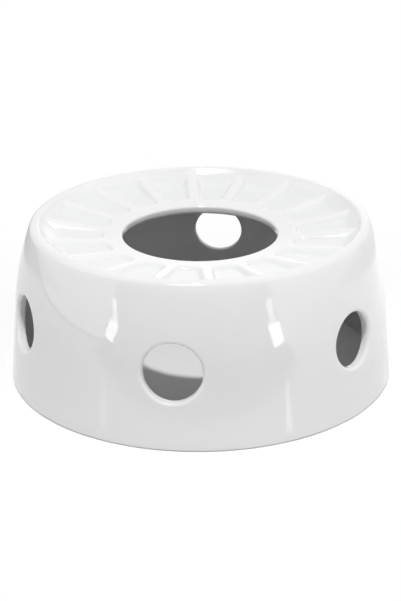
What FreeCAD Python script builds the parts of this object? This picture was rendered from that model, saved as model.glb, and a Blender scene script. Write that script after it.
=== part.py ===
"""Teapot warmer: one cast porcelain body that stands over a tea light.

A flared skirt wall carries a dished top. Round air vents go through the wall,
and flat-floored flutes with raised ribs between them lead from the smooth
collar round the mouth out to a raised rim. The body is open below and rests
on its foot ring.

Frame: millimetres, +Z up, origin at the centre of the foot ring on the table,
one vent facing -Y.
"""
import FreeCAD, Part
import math
import os

import Sketcher
from FreeCAD import Vector

# The body's label, which is also its file's name
NODE = "warmer_body"

# Lengths in millimetres that differ by less than this count as equal
NEAR = 0.01

# Places tried along an edge to tell where it runs
SAMPLES = 5

# Driving dimensions, each with what it measures: millimetres unless it says degrees
SIZES = {
    "height": (62.2, "table to the crest of the rim"),
    "foot_radius": (75.5, "outer radius of the wall at the table"),
    "skirt_lean": (2.7, "how far the straight skirt leans in above the table"),
    "skirt_height": (32.0, "height where the straight skirt ends"),
    "shoulder_lean": (7.2, "how far the curved shoulder leans in above the skirt"),
    "wall": (3.6, "thickness of the wall"),
    "rim_width": (3.2, "width of the rim's crest"),
    "rib_drop": (1.5, "rim's crest down to the dish where it meets the rim"),
    "lip_drop": (5.7, "rim's crest down to the lip of the mouth"),
    "dish_sag": (0.6, "hang of the dish below a straight line"),
    "mouth_radius": (30.1, "radius of the open mouth"),
    "lip": (3.6, "thickness of the top at the mouth"),
    "ceiling_rise": (1.2, "rise of the ceiling from the mouth to the wall"),
    "shoulder_round": (2.6, "rounding of the outer shoulder"),
    "rim_round": (0.9, "rounding of the rim's inner edge"),
    "lip_round": (1.1, "rounding of the mouth's edge above"),
    "lip_under_round": (1.5, "rounding of the mouth's edge below"),
    "ceiling_round": (5.0, "rounding inside, where wall and ceiling meet"),
    "foot_round": (0.9, "rounding of the foot ring's two edges"),
    "vent_count": (6, "air vents round the wall"),
    "vent_radius": (10.5, "radius of a side vent"),
    "vent_height": (30.0, "height of a side vent's centre"),
    "front_vent_radius": (11.1, "radius of the front vent, punched by hand like the rest"),
    "front_vent_height": (29.5, "height of the front vent's centre"),
    "back_vent_radius": (9.9, "radius of the back vent"),
    "back_vent_height": (32.0, "height of the back vent's centre"),
    "back_vent_turn": (1.6, "degrees that the back vent sits past its place"),
    "vent_round": (1.3, "rounding of a vent's outer edge"),
    "vent_inner_round": (0.8, "rounding of a vent's inner edge"),
    "flute_count": (18, "flutes round the dished top"),
    "collar_width": (7.9, "width of the smooth collar between the mouth and the flutes"),
    "slope_width": (7.2, "width of the slope between the flutes and the rim"),
    "flute_depth": (1.15, "depth of a flute below the dish at its inner end"),
    "flute_tilt": (3.5, "degrees that a flute's floor rises outwards"),
    "flute_draft": (40.0, "degrees that a flute's sides lean out from upright"),
    "flute_corner": (1.6, "rounding of the two inner corners of a flute's floor"),
    "flute_aside": (1.6, "degrees that the flutes sit past the vents' places"),
    "rib_start_width": (5.3, "width of a rib's foot at its inner end"),
    "rib_end_width": (7.6, "width of a rib's foot at its outer end"),
    "floor_round": (0.9, "rounding along the foot of a flute's sides"),
    "slope_curve": (13.0, "radius of the hollow slope from the flutes to the rim"),
    "slope_sink": (0.3, "depth of the slope's root below the flutes' floor"),
    "rib_round": (1.0, "rounding of the ribs' edges"),
}

# Sizes that follow from the driving ones
DERIVED = {
    "skirt_radius": "foot_radius - skirt_lean",
    "shoulder_radius": "skirt_radius - shoulder_lean",
    "rim_radius": "shoulder_radius - rim_width",
    "flute_start": "mouth_radius + collar_width",
    "flute_turn": "rim_radius - slope_width",
    "core_radius": "shoulder_radius - rim_width / 2",
    "root_radius": "shoulder_radius - rim_width / 4",
    "core_height": "height - rib_drop",
    "lip_height": "height - lip_drop",
    "under_height": "lip_height - lip",
    "ceiling_height": "under_height + ceiling_rise",
    "dish_width": "core_radius - mouth_radius",
    "dish_rise": "core_height - lip_height",
    "dish_curve": "(dish_width^2 + dish_rise^2) / (8 * dish_sag) + dish_sag / 2",
    "start_share": "(flute_start - mouth_radius) / dish_width",
    "start_hang": "4 * dish_sag * start_share * (1 - start_share)",
    "start_rib": "lip_height + start_share * dish_rise - start_hang",
    "start_floor": "start_rib - flute_depth",
    "turn_share": "(flute_turn - mouth_radius) / dish_width",
    "turn_hang": "4 * dish_sag * turn_share * (1 - turn_share)",
    "turn_rib": "lip_height + turn_share * dish_rise - turn_hang",
    "turn_floor": "start_floor + (flute_turn - flute_start) * tan(flute_tilt)",
    "floor_root": "start_floor - flute_start * tan(flute_tilt)",
    "flute_end": "rim_radius - rim_width / 2",
    "along_start": "flute_start / cos(flute_tilt)",
    "along_end": "flute_end / cos(flute_tilt)",
    "half_start": "flute_start * tan(180 / flute_count) - rib_start_width / 2",
    "half_end": "flute_end * tan(180 / flute_count) - rib_end_width / 2",
    "flute_reach": "core_height - turn_floor",
    "slope_root": "turn_floor - slope_sink",
    "vent_reach": "foot_radius + wall",
    "vent_pitch": "360 / vent_count",
}


def make_sizes(doc):
    """Put the sizes on a sheet, one named cell each."""
    sheet = doc.addObject("Spreadsheet::Sheet", "Sizes")
    row = 0
    for name, (value, meaning) in SIZES.items():
        row += 1
        sheet.set(f"A{row}", name)
        sheet.set(f"B{row}", str(value))
        sheet.set(f"C{row}", meaning)
        sheet.setAlias(f"B{row}", name)
    for name, formula in DERIVED.items():
        row += 1
        sheet.set(f"A{row}", name)
        sheet.set(f"B{row}", f"={formula}")
        sheet.setAlias(f"B{row}", name)
    doc.recompute()
    return sheet


def origin_feature(body, role):
    """Give one of the body's own origin planes or axes."""
    return next(f for f in body.Origin.OriginFeatures if f.Role == role)


def new_sketch(body, name, role):
    """Start a sketch on one of the body's own origin planes."""
    sketch = body.newObject("Sketcher::SketchObject", name)
    sketch.AttachmentSupport = [(origin_feature(body, role), "")]
    sketch.MapMode = "FlatFace"
    return sketch


def smooth_arc(start, towards, end):
    """Give the centre, radius and middle of the arc that leaves start towards
    a direction and ends at end. All are (radius, height) pairs."""
    chord = Vector(end[0] - start[0], end[1] - start[1], 0)
    way = Vector(*towards, 0).normalize()
    side = Vector(-way.y, way.x, 0)
    radius = chord.Length ** 2 / (2 * chord.dot(side))
    centre = Vector(*start, 0) + side * radius
    middle = Vector(*start, 0) + chord * 0.5 - centre
    middle = centre + middle.normalize() * abs(radius)
    return (centre.x, centre.y), abs(radius), (middle.x, middle.y)


class Outline:
    """A closed chain of lines and arcs in a sketch, as (radius, height)."""

    START_INDEX = 1
    END_INDEX = 2
    CENTRE_INDEX = 3
    LEVEL_AXIS_INDEX = -1
    UPRIGHT_AXIS_INDEX = -2
    ORIGIN_INDEX = (-1, 1)

    def __init__(self, sketch, sizes):
        self.sketch = sketch
        self.sizes = sizes
        self.edges = {}

    def line(self, name, start, end):
        """Add a straight edge."""
        edge = Part.LineSegment(Vector(*start, 0), Vector(*end, 0))
        self.edges[name] = self.sketch.addGeometry(edge, False)

    def arc(self, name, *points):
        """Add an arc through three points, in either order."""
        start, middle, end = (Vector(*point, 0) for point in points)
        if (middle - start).cross(end - middle).z < 0:
            start, end = end, start
        self.edges[name] = self.sketch.addGeometry(Part.Arc(start, middle, end), False)

    def end_at(self, name, point):
        """Give which end of an edge lies nearer a point."""
        edge = self.sketch.Geometry[self.edges[name]]
        there = Vector(*point, 0)
        near_start = (edge.StartPoint - there).Length < (edge.EndPoint - there).Length
        return self.edges[name], self.START_INDEX if near_start else self.END_INDEX

    def join(self, point, first, second, smooth=False):
        """Tie two edges together at a point, smoothly if asked."""
        kind = "Tangent" if smooth else "Coincident"
        ends = self.end_at(first, point) + self.end_at(second, point)
        self.sketch.addConstraint(Sketcher.Constraint(kind, *ends))

    def bind(self, label, size, kind, *where):
        """Add one constraint with a size and tie it to the sheet."""
        value = getattr(self.sizes, size)
        index = self.sketch.addConstraint(Sketcher.Constraint(kind, *where, value))
        self.sketch.renameConstraint(index, label)
        self.sketch.setExpression(f"Constraints.{label}", f"Sizes.{size}")

    def place(self, label, name, point, radius=None, height=None):
        """Tie an edge's end to a radius and a height from the sheet."""
        where = self.ORIGIN_INDEX + self.end_at(name, point)
        if radius is not None:
            self.bind(f"{label}_radius", radius, "DistanceX", *where)
        if height is not None:
            self.bind(f"{label}_height", height, "DistanceY", *where)

    def level(self, name):
        """Keep a straight edge level."""
        self.sketch.addConstraint(Sketcher.Constraint("Horizontal", self.edges[name]))

    def mirror(self, point, first, second):
        """Keep an edge's end the mirror image of another edge's, across the upright axis."""
        ends = self.end_at(first, point) + self.end_at(second, (-point[0], point[1]))
        upright = Outline.UPRIGHT_AXIS_INDEX
        self.sketch.addConstraint(Sketcher.Constraint("Symmetric", *ends, upright))

    def mark(self, label, point, name, radius, height):
        """Mark a place from the sheet that an edge's line goes through."""
        spot = self.sketch.addGeometry(Part.Point(Vector(*point, 0)), True)
        where = (spot, self.START_INDEX)
        self.sketch.addConstraint(Sketcher.Constraint("PointOnObject", *where, self.edges[name]))
        self.bind(f"{label}_radius", radius, "DistanceX", *self.ORIGIN_INDEX, *where)
        self.bind(f"{label}_height", height, "DistanceY", *self.ORIGIN_INDEX, *where)

    def rest_on_level(self, name, point):
        """Keep an edge's end on the level axis, which is the table."""
        where = self.end_at(name, point) + (self.LEVEL_AXIS_INDEX,)
        self.sketch.addConstraint(Sketcher.Constraint("PointOnObject", *where))


def add_shell(body, sizes):
    """Turn the shell: skirt, shoulder, rim's core, dish, mouth and ceiling."""
    sketch = new_sketch(body, "ShellOutline", "XZ_Plane")
    outline = Outline(sketch, sizes)
    foot = (sizes.foot_radius, 0)
    skirt = (sizes.skirt_radius, sizes.skirt_height)
    shoulder = (sizes.shoulder_radius, sizes.height)
    core = (sizes.core_radius, sizes.height)
    deck = (sizes.core_radius, sizes.core_height)
    lip = (sizes.mouth_radius, sizes.lip_height)
    under = (sizes.mouth_radius, sizes.under_height)

    rising = (skirt[0] - foot[0], skirt[1] - foot[1])
    centre, curve, bulge = smooth_arc(skirt, rising, shoulder)
    inner_curve = curve - sizes.wall
    shrink = inner_curve / curve
    inner_skirt = tuple(c + (s - c) * shrink for c, s in zip(centre, skirt))
    inner_bulge = tuple(c + (b - c) * shrink for c, b in zip(centre, bulge))
    reach = math.sqrt(inner_curve ** 2 - (sizes.ceiling_height - centre[1]) ** 2)
    ceiling = (centre[0] + reach, sizes.ceiling_height)
    inner_foot = (inner_skirt[0] - rising[0] / rising[1] * inner_skirt[1], 0)
    sag = ((lip[0] + deck[0]) / 2, (lip[1] + deck[1]) / 2 - sizes.dish_sag)

    outline.line("skirt", foot, skirt)
    outline.arc("shoulder", skirt, bulge, shoulder)
    outline.line("rim", shoulder, core)
    outline.line("core", core, deck)
    outline.arc("dish", deck, sag, lip)
    outline.line("mouth", lip, under)
    outline.line("ceiling", under, ceiling)
    outline.arc("inner_shoulder", ceiling, inner_bulge, inner_skirt)
    outline.line("inner_skirt", inner_skirt, inner_foot)
    outline.line("foot", inner_foot, foot)

    outline.join(skirt, "skirt", "shoulder", smooth=True)
    outline.join(shoulder, "shoulder", "rim")
    outline.join(core, "rim", "core")
    outline.join(deck, "core", "dish")
    outline.join(lip, "dish", "mouth")
    outline.join(under, "mouth", "ceiling")
    outline.join(ceiling, "ceiling", "inner_shoulder")
    outline.join(inner_skirt, "inner_shoulder", "inner_skirt", smooth=True)
    outline.join(inner_foot, "inner_skirt", "foot")
    outline.join(foot, "foot", "skirt")

    outline.place("foot", "skirt", foot, "foot_radius")
    outline.rest_on_level("skirt", foot)
    outline.place("skirt", "skirt", skirt, "skirt_radius", "skirt_height")
    outline.place("shoulder", "shoulder", shoulder, "shoulder_radius", "height")
    outline.place("core", "rim", core, "core_radius", "height")
    outline.place("deck", "core", deck, "core_radius", "core_height")
    outline.place("lip", "mouth", lip, "mouth_radius", "lip_height")
    outline.place("under", "mouth", under, "mouth_radius", "under_height")
    outline.place("ceiling", "ceiling", ceiling, height="ceiling_height")
    outline.bind("dish_curve", "dish_curve", "Radius", outline.edges["dish"])

    outer = outline.edges["shoulder"]
    inner = outline.edges["inner_shoulder"]
    centres = (outer, Outline.CENTRE_INDEX, inner, Outline.CENTRE_INDEX)
    sketch.addConstraint(Sketcher.Constraint("Coincident", *centres))
    sides = (outline.edges["skirt"], outline.edges["inner_skirt"])
    sketch.addConstraint(Sketcher.Constraint("Parallel", *sides))
    outline.bind("wall", "wall", "Distance", *outline.end_at("skirt", skirt), sides[1])
    outline.rest_on_level("inner_skirt", inner_foot)
    return add_revolution(body, "Shell", sketch)


def add_revolution(body, name, sketch):
    """Turn a closed outline round the body's upright axis."""
    turned = body.newObject("PartDesign::Revolution", name)
    turned.Profile = sketch
    turned.ReferenceAxis = (sketch, ["V_Axis"])
    turned.Angle = 360
    body.Tip = turned
    body.Document.recompute()
    return turned


def add_slope(body, sizes):
    """Turn the hollow slope that leads from the flutes' ends up to the rim."""
    sketch = new_sketch(body, "SlopeOutline", "XZ_Plane")
    outline = Outline(sketch, sizes)
    root = (sizes.flute_turn, sizes.slope_root)
    rim = (sizes.rim_radius, sizes.height)
    crest = (sizes.root_radius, sizes.height)
    base = (sizes.root_radius, sizes.turn_floor)
    chord = Vector(rim[0] - root[0], rim[1] - root[1], 0)
    depth = sizes.slope_curve - math.sqrt(sizes.slope_curve ** 2 - (chord.Length / 2) ** 2)
    across = Vector(chord.y, -chord.x, 0).normalize() * depth
    middle = (root[0] + chord.x / 2 + across.x, root[1] + chord.y / 2 + across.y)

    outline.arc("slope", root, middle, rim)
    outline.line("rim", rim, crest)
    outline.line("back", crest, base)
    outline.line("under", base, root)

    outline.join(rim, "slope", "rim")
    outline.join(crest, "rim", "back")
    outline.join(base, "back", "under")
    outline.join(root, "under", "slope")
    outline.place("root", "under", root, "flute_turn", "slope_root")
    outline.place("rim", "rim", rim, "rim_radius", "height")
    outline.place("crest", "back", crest, "root_radius", "height")
    outline.place("base", "back", base, "root_radius", "turn_floor")
    outline.bind("slope_curve", "slope_curve", "Radius", outline.edges["slope"])
    return add_revolution(body, "Slope", sketch)


def ring_edges(shape, *rings):
    """Name the full-circle edges at the given (radius, height) places."""
    names = []
    for number, edge in enumerate(shape.Edges, start=1):
        curve = edge.Curve
        if not isinstance(curve, Part.Circle) or math.hypot(curve.Axis.x, curve.Axis.y) > NEAR:
            continue
        for radius, height in rings:
            if math.hypot(curve.Radius - radius, curve.Center.z - height) < NEAR:
                names.append(f"Edge{number}")
    return names


def add_round(body, name, edges, size):
    """Round the named edges of the body so far by a size from the sheet."""
    base = body.Tip
    rounding = body.newObject("PartDesign::Fillet", name)
    rounding.Base = (base, edges)
    rounding.setExpression("Radius", f"Sizes.{size}")
    body.Tip = rounding
    body.Document.recompute()
    return rounding


def round_shell(body, sizes):
    """Soften the shell's turned edges, as a glaze does."""
    circles = [e.Curve for e in body.Tip.Shape.Edges if isinstance(e.Curve, Part.Circle)]
    corners = [(c.Radius, c.Center.z) for c in circles]
    bottom = [corner for corner in corners if abs(corner[1]) < NEAR]
    ceiling = [corner for corner in corners if abs(corner[1] - sizes.ceiling_height) < NEAR]
    rounds = (
        ("ShoulderRound", "shoulder_round", [(sizes.shoulder_radius, sizes.height)]),
        ("RimRound", "rim_round", [(sizes.rim_radius, sizes.height)]),
        ("LipRound", "lip_round", [(sizes.mouth_radius, sizes.lip_height)]),
        ("LipUnderRound", "lip_under_round", [(sizes.mouth_radius, sizes.under_height)]),
        ("CeilingRound", "ceiling_round", ceiling),
        ("FootRound", "foot_round", bottom),
    )
    for name, size, rings in rounds:
        add_round(body, name, ring_edges(body.Tip.Shape, *rings), size)


def add_pattern(body, name, feature, count):
    """Repeat a feature evenly round the body's upright axis."""
    pattern = body.newObject("PartDesign::PolarPattern", name)
    pattern.Originals = [feature]
    pattern.Axis = (origin_feature(body, "Z_Axis"), [""])
    pattern.Angle = 360
    pattern.setExpression("Occurrences", f"Sizes.{count}")
    body.Tip = pattern
    body.Document.recompute()
    return pattern


def draw_flute(outline, sizes):
    """Draw a flute's floor: it widens outwards and its inner corners are round."""
    spread = math.atan2(sizes.half_end - sizes.half_start, sizes.along_end - sizes.along_start)
    step = sizes.flute_corner * math.tan((math.pi / 2 - spread) / 2)
    run = (sizes.half_start - step, sizes.along_start)
    side = (sizes.half_start + step * math.sin(spread), sizes.along_start + step * math.cos(spread))
    far = (sizes.half_end, sizes.along_end)
    centre = Vector(run[0], sizes.along_start + sizes.flute_corner, 0)
    middle = centre + Vector(step, -sizes.flute_corner, 0).normalize() * sizes.flute_corner

    outline.line("inner_end", (-run[0], run[1]), run)
    outline.arc("right_corner", run, (middle.x, middle.y), side)
    outline.line("right", side, far)
    outline.line("outer_end", far, (-far[0], far[1]))
    outline.line("left", (-far[0], far[1]), (-side[0], side[1]))
    outline.arc("left_corner", (-side[0], side[1]), (-middle.x, middle.y), (-run[0], run[1]))

    outline.join(run, "inner_end", "right_corner", smooth=True)
    outline.join(side, "right_corner", "right", smooth=True)
    outline.join(far, "right", "outer_end")
    outline.join((-far[0], far[1]), "outer_end", "left")
    outline.join((-side[0], side[1]), "left", "left_corner", smooth=True)
    outline.join((-run[0], run[1]), "left_corner", "inner_end", smooth=True)
    outline.level("inner_end")
    outline.mirror(far, "right", "left")
    outline.mirror(side, "right", "left")
    outline.place("inner_end", "inner_end", run, height="along_start")
    outline.place("outer_end", "right", far, "half_end", "along_end")
    outline.mark("corner", (sizes.half_start, sizes.along_start), "right", "half_start", "along_start")
    outline.bind("corner_round", "flute_corner", "Radius", outline.edges["right_corner"])


def add_flutes(body, sizes):
    """Cut the flutes: flat floors that rise outwards, with sides that lean out."""
    sketch = new_sketch(body, "FluteOutline", "XY_Plane")
    turned = FreeCAD.Rotation(sizes.flute_aside, 0, sizes.flute_tilt)
    sketch.AttachmentOffset = FreeCAD.Placement(Vector(0, 0, sizes.floor_root), turned)
    sketch.setExpression("AttachmentOffset.Base.z", "Sizes.floor_root")
    sketch.setExpression("AttachmentOffset.Rotation.Yaw", "Sizes.flute_aside")
    sketch.setExpression("AttachmentOffset.Rotation.Roll", "Sizes.flute_tilt")
    draw_flute(Outline(sketch, sizes), sizes)

    flute = body.newObject("PartDesign::Pocket", "Flute")
    flute.Profile = sketch
    flute.Type = "Length"
    flute.Reversed = True
    flute.setExpression("Length", "Sizes.flute_reach")
    flute.setExpression("TaperAngle", "Sizes.flute_draft")
    body.Tip = flute
    body.Document.recompute()
    add_pattern(body, "Flutes", flute, "flute_count")
    add_round(body, "FloorRound", floor_edges(body.Tip.Shape, sizes), "floor_round")


def floor_edges(shape, sizes):
    """Name the edges along the flutes' floors, all but those at the outer ends."""
    names = []
    floors = [face for face in shape.Faces if is_floor(face, sizes)]
    bounds = [edge for floor in floors for edge in floor.Edges]
    for number, edge in enumerate(shape.Edges, start=1):
        nearest = min(math.hypot(p.x, p.y) for p in edge.discretize(SAMPLES))
        if nearest < sizes.flute_turn and any(edge.isSame(bound) for bound in bounds):
            names.append(f"Edge{number}")
    return names


def is_floor(face, sizes):
    """Tell whether a face is the flat floor of a flute."""
    if not isinstance(face.Surface, Part.Plane):
        return False
    middle = face.CenterOfMass
    rise = math.hypot(middle.x, middle.y) * math.tan(math.radians(sizes.flute_tilt))
    return abs(middle.z - sizes.floor_root - rise) < NEAR


class Vent:
    """One round air vent, punched at its own place, with its sizes' names."""

    def __init__(self, number, sizes):
        opposite = int(sizes.vent_count) // 2
        name = {0: "front_vent", opposite: "back_vent"}.get(number, "vent")
        self.number = number
        self.height_name = f"{name}_height"
        self.radius_name = f"{name}_radius"
        self.height = getattr(sizes, self.height_name)
        self.radius = getattr(sizes, self.radius_name)
        self.turn = f"Sizes.vent_pitch * {number}"
        self.degrees = sizes.vent_pitch * number
        if number == opposite:
            self.turn += " + Sizes.back_vent_turn"
            self.degrees += sizes.back_vent_turn

    def bounds(self, point):
        """Tell whether a point lies on the vent's own round wall."""
        aside = math.atan2(point.x, -point.y) - math.radians(self.degrees)
        offset = math.hypot(point.x, point.y) * math.sin(aside)
        off_wall = abs(math.hypot(offset, point.z - self.height) - self.radius)
        return math.cos(aside) > 0 and off_wall < NEAR


def all_vents(sizes):
    """List the vents from the front one towards +X."""
    return [Vent(number, sizes) for number in range(int(sizes.vent_count))]


def add_vent(body, sizes, vent):
    """Cut one vent straight through the wall, from the axis outwards."""
    sketch = new_sketch(body, f"VentOutline{vent.number}", "XZ_Plane")
    rotation = FreeCAD.Rotation(Vector(0, 1, 0), vent.degrees)
    sketch.AttachmentOffset = FreeCAD.Placement(Vector(), rotation)
    if vent.number > 0:
        sketch.setExpression("AttachmentOffset.Rotation.Angle", vent.turn)
    outline = Outline(sketch, sizes)
    circle = Part.Circle(Vector(0, vent.height, 0), Vector(0, 0, 1), vent.radius)
    edge = sketch.addGeometry(circle, False)
    middle = (edge, Outline.CENTRE_INDEX)
    upright = Outline.UPRIGHT_AXIS_INDEX
    sketch.addConstraint(Sketcher.Constraint("PointOnObject", *middle, upright))
    outline.bind("height", vent.height_name, "DistanceY", *Outline.ORIGIN_INDEX, *middle)
    outline.bind("radius", vent.radius_name, "Radius", edge)

    cut = body.newObject("PartDesign::Pocket", f"Vent{vent.number}")
    cut.Profile = sketch
    cut.Type = "Length"
    cut.Reversed = True
    cut.setExpression("Length", "Sizes.vent_reach")
    body.Tip = cut
    body.Document.recompute()


def vent_edges(shape, sizes, outside):
    """Name the edges of the vents on the wall's outer or inner side."""
    names = []
    vents = all_vents(sizes)
    middle = sizes.skirt_radius - sizes.wall / 2
    for number, edge in enumerate(shape.Edges, start=1):
        points = edge.discretize(SAMPLES)
        reach = sum(math.hypot(p.x, p.y) for p in points) / len(points)
        if (reach > middle) != outside:
            continue
        if any(all(vent.bounds(point) for point in points) for vent in vents):
            names.append(f"Edge{number}")
    return names


def round_vents(body, sizes):
    """Soften the vents' edges, outside and inside."""
    outside = vent_edges(body.Tip.Shape, sizes, True)
    add_round(body, "VentRound", outside, "vent_round")
    inside = vent_edges(body.Tip.Shape, sizes, False)
    add_round(body, "VentInnerRound", inside, "vent_inner_round")


def is_ring(edge):
    """Tell whether an edge runs level round the body's upright axis."""
    points = edge.discretize(SAMPLES)
    heights = [point.z for point in points]
    reaches = [math.hypot(point.x, point.y) for point in points]
    level = max(heights) - min(heights) < NEAR
    return level and max(reaches) - min(reaches) < NEAR


def rib_edges(shape, sizes):
    """Name the edges where the flutes meet the ribs and the collar."""
    aside = math.pi / sizes.flute_count - math.radians(sizes.flute_aside)
    reach = (sizes.flute_start + sizes.flute_turn) / 2
    height = (sizes.start_rib + sizes.turn_rib) / 2
    point = Vector(reach * math.sin(aside), reach * math.cos(aside), height)
    dish = min(shape.Faces, key=lambda face: face.distToShape(Part.Vertex(point))[0])
    bounds = [edge for edge in dish.Edges if not is_ring(edge)]
    names = []
    for number, edge in enumerate(shape.Edges, start=1):
        if any(edge.isSame(bound) for bound in bounds):
            names.append(f"Edge{number}")
    return names


def round_ribs(body, sizes):
    """Soften the edges of the ribs and of the collar."""
    add_round(body, "RibRound", rib_edges(body.Tip.Shape, sizes), "rib_round")


def check_model(doc, body):
    """Stop if any object failed, or the body is no single valid solid."""
    for item in doc.Objects:
        if any(word in item.State for word in ("Invalid", "Error")):
            raise RuntimeError(f"{item.Name} failed: {item.State}")
    shape = body.Shape
    if shape.isNull() or not shape.isValid() or len(shape.Solids) != 1:
        raise RuntimeError(f"{body.Label} is not one valid solid")


def main():
    """Build the warmer, test it and write its file."""
    doc = FreeCAD.newDocument("TeapotWarmer")
    sizes = make_sizes(doc)
    body = doc.addObject("PartDesign::Body", "WarmerBody")
    body.Label = NODE
    add_shell(body, sizes)
    add_flutes(body, sizes)
    add_slope(body, sizes)
    round_shell(body, sizes)
    for vent in all_vents(sizes):
        add_vent(body, sizes, vent)
    round_vents(body, sizes)
    round_ribs(body, sizes)
    body.Placement = FreeCAD.Placement()
    doc.recompute()
    check_model(doc, body)
    os.makedirs("parts", exist_ok=True)
    body.Shape.exportStep(f"parts/{NODE}.step")
    print(f"{NODE}: {body.Shape.Volume / 1000:.1f} cubic centimetres, {len(body.Shape.Faces)} faces")


if __name__ == "__main__":
    main()
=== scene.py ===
"""Teapot warmer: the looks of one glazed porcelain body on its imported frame.

The body is one cast piece: a flared skirt wall with round air vents, a curved
shoulder, a raised rim, a dished top with scooped flutes between soft ribs, and
a smooth collar round the open mouth. Sizes are in millimetres and turn into
metres when the mesh is made. Azimuths are in degrees from the vent that faces
-Y, growing towards +X.
"""

import logging
import math
from collections.abc import Sequence
from dataclasses import dataclass, field
from enum import Enum
from typing import Any

import bmesh
import bpy
import numpy as np
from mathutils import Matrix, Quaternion, Vector


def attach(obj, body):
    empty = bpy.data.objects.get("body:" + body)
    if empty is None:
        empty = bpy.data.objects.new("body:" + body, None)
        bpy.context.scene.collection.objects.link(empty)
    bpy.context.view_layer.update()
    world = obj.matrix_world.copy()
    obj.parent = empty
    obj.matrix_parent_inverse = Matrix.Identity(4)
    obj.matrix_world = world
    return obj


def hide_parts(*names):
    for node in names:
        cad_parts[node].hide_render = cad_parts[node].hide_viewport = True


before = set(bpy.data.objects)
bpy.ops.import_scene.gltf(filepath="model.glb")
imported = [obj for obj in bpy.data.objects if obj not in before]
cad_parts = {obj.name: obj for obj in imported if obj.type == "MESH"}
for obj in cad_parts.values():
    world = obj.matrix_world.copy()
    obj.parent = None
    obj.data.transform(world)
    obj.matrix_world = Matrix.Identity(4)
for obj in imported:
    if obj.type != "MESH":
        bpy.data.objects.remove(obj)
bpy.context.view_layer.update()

LOG = logging.getLogger("teapot_warmer")
BODY = "root"
NODE = "warmer_body"
MM = 0.001

Place = tuple[float, float]


class Finish(Enum):
    """The two surfaces of the fired body, in the order of its slots."""

    GLAZE = 0
    BISCUIT = 1


def linear(colour: str) -> tuple[float, float, float, float]:
    """Turn an sRGB hex colour to linear.

    Args:
        colour: six hex digits, such as "f2f2f0".

    Returns:
        Linear red, green, blue and an alpha of one.
    """
    parts = [int(colour[i:i + 2], 16) / 255 for i in (0, 2, 4)]
    red, green, blue = (
        part / 12.92 if part <= 0.04045 else ((part + 0.055) / 1.055) ** 2.4
        for part in parts
    )
    return red, green, blue, 1.0


def add_node(
    tree: bpy.types.NodeTree,
    kind: str,
    settings: dict[str | int, Any] | None = None,
    links: dict[str | int, bpy.types.NodeSocket] | None = None,
) -> bpy.types.Node:
    """Add a node with its settings and the links that feed it.

    Args:
        tree: the node tree that gets the node.
        kind: the node's type.
        settings: values for the node's own options or its inputs.
        links: sockets that feed its inputs.

    Returns:
        The new node.
    """
    node = tree.nodes.new(kind)
    for name, value in (settings or {}).items():
        if isinstance(name, str) and hasattr(node, name):
            setattr(node, name, value)
        else:
            node.inputs[name].default_value = value
    for name, socket in (links or {}).items():
        tree.links.new(socket, node.inputs[name])
    return node


def per_metre(size: float) -> float:
    """Give the texture scale whose features are about size millimetres wide."""
    return 1 / (size * MM)


def blank_material(name: str) -> bpy.types.Material:
    """Make a material whose node tree is still empty.

    Args:
        name: the material's name.

    Returns:
        The material.
    """
    made = bpy.data.materials.new(name)
    made.use_nodes = True
    made.node_tree.nodes.clear()
    return made


def towards(azimuth: float, elevation: float) -> Vector:
    """Give the direction from the body to a place round it.

    Args:
        azimuth: the place's azimuth in degrees.
        elevation: its elevation in degrees.

    Returns:
        The direction, one unit long.
    """
    turn = math.radians(azimuth)
    rise = math.radians(elevation)
    return Vector((
        math.sin(turn) * math.cos(rise),
        -math.cos(turn) * math.cos(rise),
        math.sin(rise),
    ))


def set_facing(thing: bpy.types.Object, place: Vector, back: Vector, roll: float) -> None:
    """Stand the camera or a lamp in its place and turn it to the body.

    Args:
        thing: the camera or lamp.
        place: where it stands, in millimetres.
        back: the direction that its back faces.
        roll: how far it leans, in degrees.
    """
    bpy.context.scene.collection.objects.link(thing)
    thing.location = place * MM
    thing.rotation_mode = "QUATERNION"
    level = (-back).to_track_quat("-Z", "Y")
    thing.rotation_quaternion = level @ Quaternion((0, 0, 1), math.radians(roll))


def rounded(before: Place, at: Place, after: Place, radius: float, steps: int) -> np.ndarray:
    """Round the corner of an outline.

    Args:
        before: a place on the outline before the corner, as (radius, height).
        at: the sharp corner.
        after: a place on the outline after the corner.
        radius: the rounding's radius.
        steps: how many pieces the rounding has.

    Returns:
        The rounding's places in order, one more than steps.
    """
    corner = np.array(at)
    back = np.array(before) - corner
    on = np.array(after) - corner
    back /= np.linalg.norm(back)
    on /= np.linalg.norm(on)
    half = math.acos(back @ on) / 2
    middle = (back + on) / np.linalg.norm(back + on)
    centre = corner + middle * radius / math.sin(half)
    first = corner + back * radius / math.tan(half) - centre
    last = corner + on * radius / math.tan(half) - centre
    start = math.atan2(first[1], first[0])
    sweep = math.remainder(math.atan2(last[1], last[0]) - start, 2 * math.pi)
    turns = start + sweep * np.linspace(0, 1, steps + 1)
    return centre + radius * np.column_stack((np.cos(turns), np.sin(turns)))


def soft_least(first: np.ndarray, second: np.ndarray, softness: float) -> np.ndarray:
    """Give the lesser of two heights, blended where they are close."""
    near = np.clip(1 - np.abs(first - second) / softness, 0, 1)
    return np.minimum(first, second) - near ** 2 * softness / 4


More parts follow.
